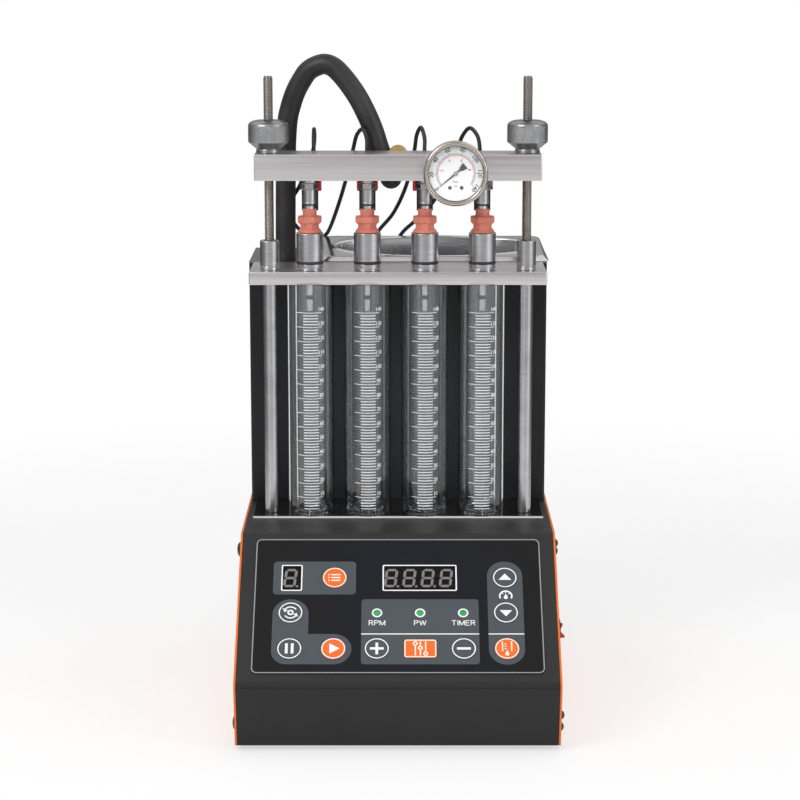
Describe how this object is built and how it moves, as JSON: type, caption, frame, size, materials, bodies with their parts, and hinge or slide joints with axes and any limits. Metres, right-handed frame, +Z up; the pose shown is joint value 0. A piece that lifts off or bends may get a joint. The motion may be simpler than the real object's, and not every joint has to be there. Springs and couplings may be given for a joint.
{
  "type": "fuel injector cleaner and tester",
  "caption": "Bench fuel injector tester: sloped key console, glass measuring tubes in a rack, injectors clamped under a gauged rail, ultrasonic bath on a rear cabinet.",
  "frame": {"origin": "on the bench surface under the middle of the machine, on the plane of the feet", "axes": "+X to the operator's right as they face the console, +Y to the back, +Z up"},
  "size_m": [0.3349, 0.4098, 0.6721],
  "materials": {
    "console_paint": "fine satin powder coat",
    "side_paint": "satin powder coat",
    "black_paint": "satin black paint",
    "deck": "grey paint",
    "stainless": "polished stainless",
    "bright_steel": "turned bright steel",
    "brushed_alloy": "brushed and clear anodised",
    "pump_metal": "zinc grey",
    "brass": "turned",
    "gauge_case": "pale bezel and white dial",
    "clear_tube": "clear acrylic",
    "clear_glass": "clear glass",
    "injector_plastic": "moulded, slightly grainy",
    "black_plastic": "moulded",
    "hose_rubber": "smooth rubber",
    "overlay": "printed film",
    "key_orange": "printed key",
    "key_dark": "printed key",
    "rocker": "glossy red",
    "board": "solder mask",
    "tank": "natural plastic"
  },
  "bodies": {
    "base": {"console_shell": "console_paint", "side_plate_left": "side_paint", "side_plate_right": "side_paint", "floor_pan": "black_paint", "panel_overlay": "overlay", "control_board": "board", "switch_body": "black_plastic", "cabinet_shell": "black_paint", "rear_cover": "black_paint", "top_deck": "deck", "bath_pan": "stainless", "power_supply": "black_plastic", "fluid_tank": "tank", "fluid_pump": "pump_metal", "base_plate": "black_paint", "top_plate": "brushed_alloy", "column_left": "bright_steel", "column_right": "bright_steel", "clamp_sleeve_left": "bright_steel", "clamp_sleeve_right": "bright_steel", "guard_tube_1": "clear_tube", "guard_tube_2": "clear_tube", "guard_tube_3": "clear_tube", "guard_tube_4": "clear_tube", "measuring_tube_1": "clear_glass", "measuring_tube_2": "clear_glass", "measuring_tube_3": "clear_glass", "measuring_tube_4": "clear_glass", "receiver_1": "bright_steel", "receiver_2": "bright_steel", "receiver_3": "bright_steel", "receiver_4": "bright_steel", "fluid_hose": "hose_rubber", "injector_harness": "hose_rubber"},
    "lift": {"rail": "brushed_alloy", "coupler_1": "bright_steel", "coupler_2": "bright_steel", "coupler_3": "bright_steel", "coupler_4": "bright_steel", "injector_1": "injector_plastic", "injector_2": "injector_plastic", "injector_3": "injector_plastic", "injector_4": "injector_plastic", "gauge_case": "gauge_case", "gauge_lens": "clear_glass", "hose_union": "brass"},
    "nut_left": {"clamp_nut_left": "bright_steel"},
    "nut_right": {"clamp_nut_right": "bright_steel"},
    "needle": {"gauge_needle": "black_plastic"},
    "rocker": {"power_rocker": "rocker"},
    "menu_key": {"key_menu": "key_orange"},
    "refresh_key": {"key_refresh": "key_dark"},
    "pause_key": {"key_pause": "key_dark"},
    "play_key": {"key_play": "key_orange"},
    "plus_key": {"key_plus": "key_dark"},
    "settings_key": {"key_settings": "key_orange"},
    "minus_key": {"key_minus": "key_dark"},
    "up_key": {"key_up": "key_dark"},
    "down_key": {"key_down": "key_dark"},
    "drain_key": {"key_drain": "key_orange"}
  },
  "joints": [
    {"name": "rail_lift", "type": "slide", "parent": "base", "child": "lift", "axis": [0, 0, 1], "range_m": [0, 0.04], "deforming": ["fluid_hose", "injector_harness"]},
    {"name": "nut_left_turn", "type": "hinge", "parent": "lift", "child": "nut_left", "pos_m": [-0.134, 0.018, 0.5955], "axis": [0, 0, 1], "range_deg": [0, 9600]},
    {"name": "nut_right_turn", "type": "hinge", "parent": "lift", "child": "nut_right", "pos_m": [0.134, 0.018, 0.5955], "axis": [0, 0, 1], "range_deg": [0, 9600]},
    {"name": "needle_turn", "type": "hinge", "parent": "lift", "child": "needle", "pos_m": [0.0586, -0.041, 0.5603], "axis": [0, 1, 0], "range_deg": [0, 256], "stiffness_Nm_per_rad": 0.0002, "springref_deg": -5.73},
    {"name": "rocker_tilt", "type": "hinge", "parent": "base", "child": "rocker", "pos_m": [0.1629, -0.13, 0.106], "axis": [0, 1, 0], "range_deg": [0, 20]},
    {"name": "menu_press", "type": "slide", "parent": "base", "child": "menu_key", "axis": [0, 0.645, -0.7642], "range_m": [0, 0.0008], "stiffness_N_per_m": 600, "springref_m": -0.0005},
    {"name": "refresh_press", "type": "slide", "parent": "base", "child": "refresh_key", "axis": [0, 0.645, -0.7642], "range_m": [0, 0.0008], "stiffness_N_per_m": 600, "springref_m": -0.0005},
    {"name": "pause_press", "type": "slide", "parent": "base", "child": "pause_key", "axis": [0, 0.645, -0.7642], "range_m": [0, 0.0008], "stiffness_N_per_m": 600, "springref_m": -0.0005},
    {"name": "play_press", "type": "slide", "parent": "base", "child": "play_key", "axis": [0, 0.645, -0.7642], "range_m": [0, 0.0008], "stiffness_N_per_m": 600, "springref_m": -0.0005},
    {"name": "plus_press", "type": "slide", "parent": "base", "child": "plus_key", "axis": [0, 0.645, -0.7642], "range_m": [0, 0.0008], "stiffness_N_per_m": 600, "springref_m": -0.0005},
    {"name": "settings_press", "type": "slide", "parent": "base", "child": "settings_key", "axis": [0, 0.645, -0.7642], "range_m": [0, 0.0008], "stiffness_N_per_m": 600, "springref_m": -0.0005},
    {"name": "minus_press", "type": "slide", "parent": "base", "child": "minus_key", "axis": [0, 0.645, -0.7642], "range_m": [0, 0.0008], "stiffness_N_per_m": 600, "springref_m": -0.0005},
    {"name": "up_press", "type": "slide", "parent": "base", "child": "up_key", "axis": [0, 0.645, -0.7642], "range_m": [0, 0.0008], "stiffness_N_per_m": 600, "springref_m": -0.0005},
    {"name": "down_press", "type": "slide", "parent": "base", "child": "down_key", "axis": [0, 0.645, -0.7642], "range_m": [0, 0.0008], "stiffness_N_per_m": 600, "springref_m": -0.0005},
    {"name": "drain_press", "type": "slide", "parent": "base", "child": "drain_key", "axis": [0, 0.645, -0.7642], "range_m": [0, 0.0008], "stiffness_N_per_m": 600, "springref_m": -0.0005}
  ],
  "couplings": [
    {"joint": "nut_left_turn", "follows": "rail_lift", "rad_per_m": 4188.8},
    {"joint": "nut_right_turn", "follows": "rail_lift", "rad_per_m": 4188.8}
  ]
}
